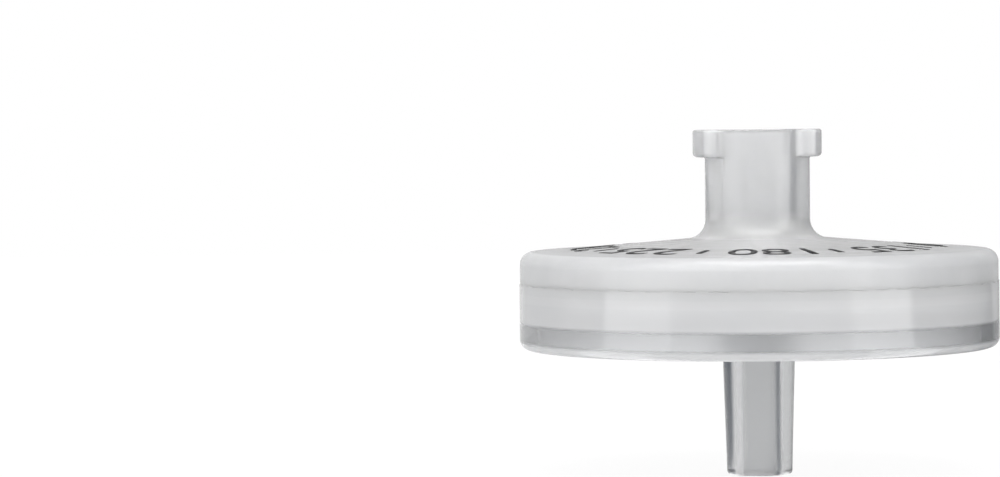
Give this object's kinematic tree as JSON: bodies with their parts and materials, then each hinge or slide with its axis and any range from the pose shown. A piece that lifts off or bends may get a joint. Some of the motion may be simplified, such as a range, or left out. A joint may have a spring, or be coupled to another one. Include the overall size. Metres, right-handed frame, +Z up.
{
  "type": "syringe filter",
  "caption": "Round disc filter for a syringe: two welded translucent shells clamp a filter sheet, with a lugged socket inlet on top and a tapered outlet tip below.",
  "frame": {"origin": "centre of the outlet tip's flat end, which the part stands on", "axes": "+Z up the flow axis, from the outlet tip to the inlet socket; X through the two locking lugs"},
  "size_m": [0.0292, 0.0292, 0.021],
  "materials": {
    "frosted_shell": "natural polypropylene, fine frosted surface, cloudy and translucent",
    "clear_shell": "natural polypropylene, polished surface, slightly cloudy",
    "filter_sheet": "white glass-fibre felt",
    "print_ink": "black pad print"
  },
  "bodies": {
    "root": {"inlet_housing": "frosted_shell", "outlet_housing": "clear_shell", "filter_disc": "filter_sheet"}
  },
  "joints": []
}
